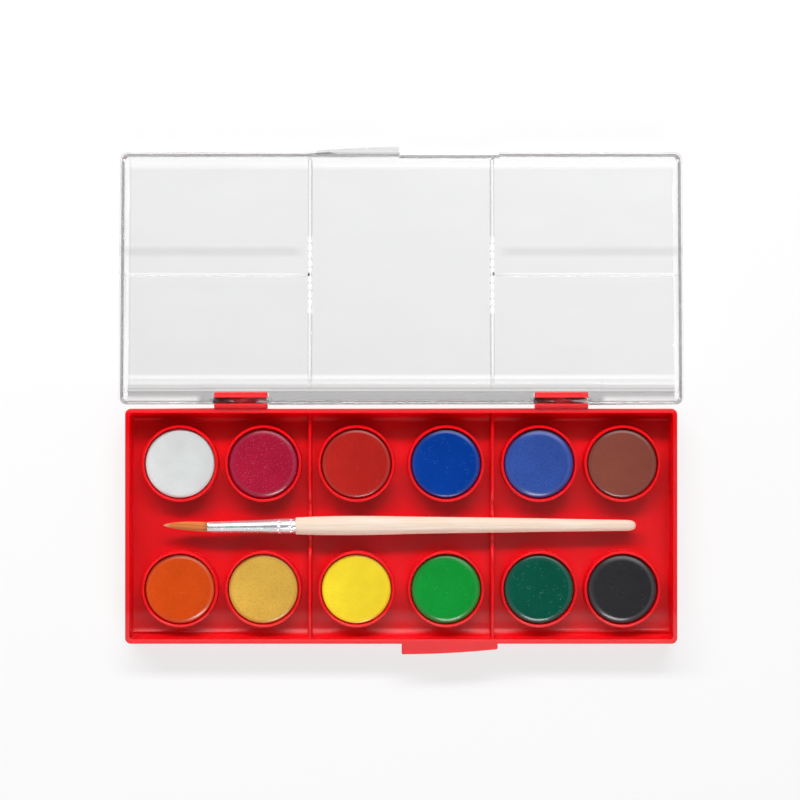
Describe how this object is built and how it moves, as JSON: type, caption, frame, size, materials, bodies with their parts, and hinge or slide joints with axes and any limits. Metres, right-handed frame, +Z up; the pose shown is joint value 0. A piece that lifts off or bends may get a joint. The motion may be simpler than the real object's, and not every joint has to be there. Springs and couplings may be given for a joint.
{
  "type": "watercolour paint box",
  "caption": "Flat watercolour box with pressed paint tablets in round cups, a brush in a scalloped rest, and a clear hinged lid that opens flat as a mixing palette.",
  "frame": {"origin": "centre of the tray's flat underside, on the surface that the box stands on", "axes": "+X along the box's length, with the tray's finger tab on the +X half of the front; -Y is the front; the open lid lies on +Y; +Z is up"},
  "size_m": [0.1942, 0.175, 0.0122],
  "materials": {
    "red_plastic": "moulded, satin gloss",
    "clear_plastic": "clear, polished",
    "pale_wood": "sanded, thin clear lacquer",
    "ferrule_metal": "drawn, bright",
    "tuft": "dyed fine bristle",
    "glue": "set resin",
    "paint_white": "pressed watercolour cake, matt with a worn shoulder",
    "paint_crimson": "pressed watercolour cake, matt with a worn shoulder",
    "paint_vermilion": "pressed watercolour cake, matt with a worn shoulder",
    "paint_blue": "pressed watercolour cake, matt with a worn shoulder",
    "paint_ultramarine": "pressed watercolour cake, matt with a worn shoulder",
    "paint_brown": "pressed watercolour cake, matt with a worn shoulder",
    "paint_orange": "pressed watercolour cake, matt with a worn shoulder",
    "paint_ochre": "pressed watercolour cake, matt with a worn shoulder",
    "paint_yellow": "pressed watercolour cake, matt with a worn shoulder",
    "paint_green": "pressed watercolour cake, matt with a worn shoulder",
    "paint_dark_green": "pressed watercolour cake, matt with a worn shoulder",
    "paint_black": "pressed watercolour cake, matt with a worn shoulder"
  },
  "bodies": {
    "box": {"tray": "red_plastic", "paint_white": "paint_white", "paint_crimson": "paint_crimson", "paint_vermilion": "paint_vermilion", "paint_blue": "paint_blue", "paint_ultramarine": "paint_ultramarine", "paint_brown": "paint_brown", "paint_orange": "paint_orange", "paint_ochre": "paint_ochre", "paint_yellow": "paint_yellow", "paint_green": "paint_green", "paint_dark_green": "paint_dark_green", "paint_black": "paint_black"},
    "lid": {"lid": "clear_plastic"},
    "brush": {"brush_handle": "pale_wood", "brush_ferrule": "ferrule_metal", "brush_hair": "tuft", "brush_resin": "glue"}
  },
  "joints": [
    {"name": "lid_hinge", "type": "hinge", "parent": "box", "child": "lid", "pos_m": [0, 0.0432, 0.0095], "axis": [1, 0, 0], "range_deg": [0, 182.86]},
    {"name": "brush_lift", "type": "slide", "parent": "box", "child": "brush", "axis": [0, 0, 1], "range_m": [0, 0.06]}
  ]
}
